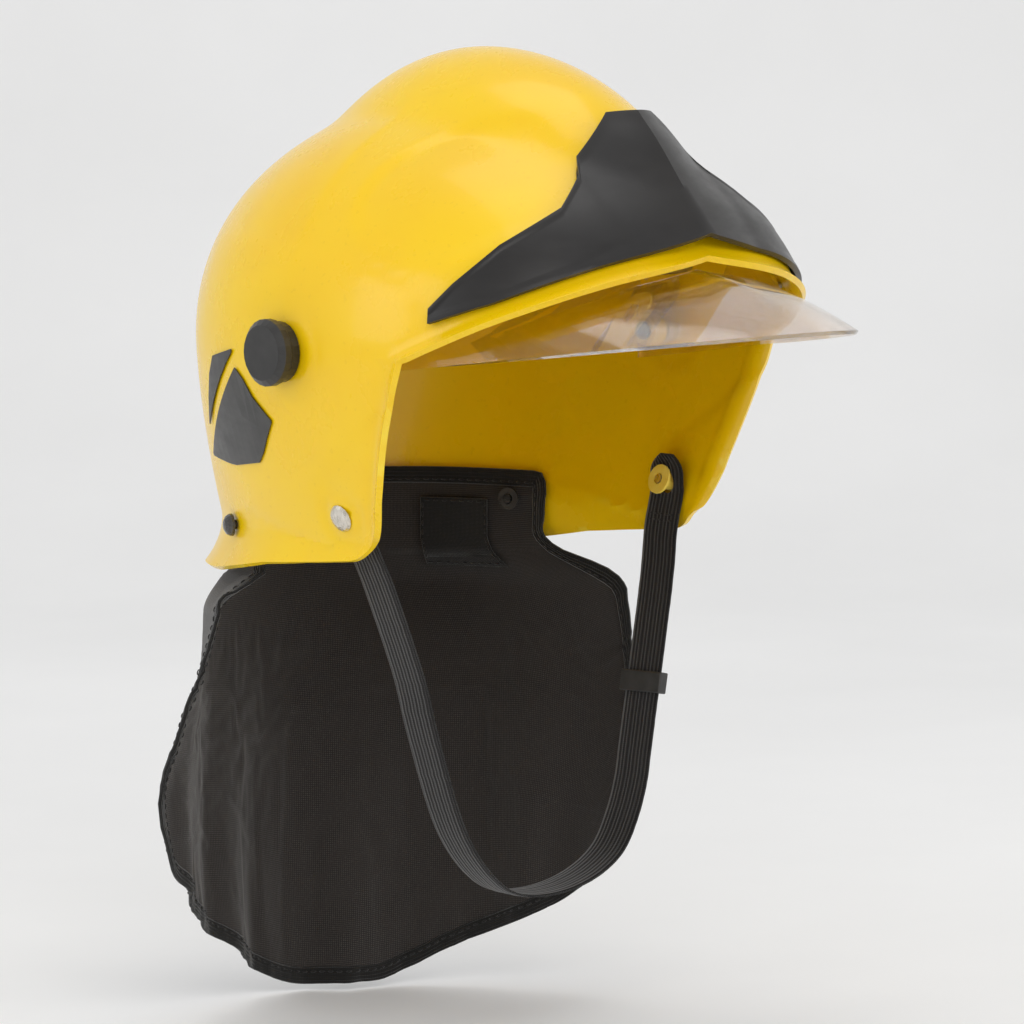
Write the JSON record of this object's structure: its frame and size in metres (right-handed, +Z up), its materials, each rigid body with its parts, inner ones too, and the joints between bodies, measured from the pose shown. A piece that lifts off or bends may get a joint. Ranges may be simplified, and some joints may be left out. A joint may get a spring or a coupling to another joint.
{
  "type": "firefighter helmet",
  "caption": "Toy firefighter helmet with a hinged clear visor, black front plate, side knobs, chin strap and fabric neck curtain.",
  "frame": {"origin": "middle of the head space, on the visor's hinge line", "axes": "the wearer looks along -Y, +Z is up, the wearer's right is -X"},
  "size_m": [0.239, 0.339, 0.4136],
  "materials": {
    "yellow_shell": "glossy",
    "black_plate": "satin",
    "clear_visor": "clear",
    "black_webbing": "woven",
    "black_slider": "satin",
    "grey_fabric": "woven",
    "black_binding": "woven",
    "black_headband": "satin",
    "grey_foam": "foam",
    "cradle_strap": "woven",
    "crown_foam": "foam",
    "grey_slider": "satin",
    "black_knob": "glossy",
    "yellow_boss": "glossy",
    "spacer_nylon": "satin",
    "nickel": "polished",
    "yellow_peg": "glossy",
    "black_stud": "glossy",
    "screw_steel": "brushed",
    "decal_black": "satin",
    "black_loop_tape": "woven",
    "post_nylon": "glossy"
  },
  "bodies": {
    "helmet": {"shell": "yellow_shell", "front_plate": "black_plate", "neck_curtain": "grey_fabric", "curtain_binding": "black_binding", "headband": "black_headband", "sweat_pad": "grey_foam", "crown_strap_lengthwise": "cradle_strap", "crown_strap_crosswise": "cradle_strap", "crown_pad": "crown_foam", "pivot_nut_left": "yellow_boss", "pivot_spacer_left": "spacer_nylon", "strap_rivet_left": "nickel", "strap_boss_left": "yellow_peg", "strap_cap_left": "yellow_peg", "curtain_stud_left": "black_stud", "stud_washer_left": "black_stud", "plate_screw_left": "screw_steel", "panel_decal_left": "decal_black", "fin_decal_left": "decal_black", "curtain_patch_left": "black_loop_tape", "side_post_left": "post_nylon", "rear_post_left": "post_nylon", "pivot_nut_right": "yellow_boss", "pivot_spacer_right": "spacer_nylon", "strap_rivet_right": "nickel", "strap_boss_right": "yellow_peg", "strap_cap_right": "yellow_peg", "curtain_stud_right": "black_stud", "stud_washer_right": "black_stud", "plate_screw_right": "screw_steel", "panel_decal_right": "decal_black", "fin_decal_right": "decal_black", "curtain_patch_right": "black_loop_tape", "side_post_right": "post_nylon", "rear_post_right": "post_nylon"},
    "visor": {"visor": "clear_visor"},
    "visor_knob_left": {"visor_knob_left": "black_knob"},
    "visor_knob_right": {"visor_knob_right": "black_knob"},
    "chin_strap": {"chin_strap": "black_webbing"},
    "strap_slider": {"strap_slider": "black_slider"},
    "size_slider": {"size_slider": "grey_slider"}
  },
  "joints": [
    {"name": "visor_hinge", "type": "hinge", "parent": "helmet", "child": "visor", "pos_m": [0, 0, 0], "axis": [1, 0, 0], "range_deg": [0, 28]},
    {"name": "left_knob_turn", "type": "hinge", "parent": "helmet", "child": "visor_knob_left", "pos_m": [0.11, 0, 0], "axis": [1, 0, 0], "range_deg": [-180, 180]},
    {"name": "right_knob_turn", "type": "hinge", "parent": "helmet", "child": "visor_knob_right", "pos_m": [-0.11, 0, 0], "axis": [-1, 0, 0], "range_deg": [-180, 180]},
    {"name": "chin_strap_swing", "type": "hinge", "parent": "helmet", "child": "chin_strap", "pos_m": [0, -0.01772, -0.06476], "axis": [1, 0, 0], "range_deg": [-45, 15]},
    {"name": "strap_slider_travel", "type": "slide", "parent": "chin_strap", "child": "strap_slider", "axis": [0.2118, 0.0451, 0.9763], "range_m": [-0.016, 0.016]},
    {"name": "size_slider_travel", "type": "slide", "parent": "helmet", "child": "size_slider", "axis": [1, 0, 0], "range_m": [-0.01, 0.01]}
  ]
}
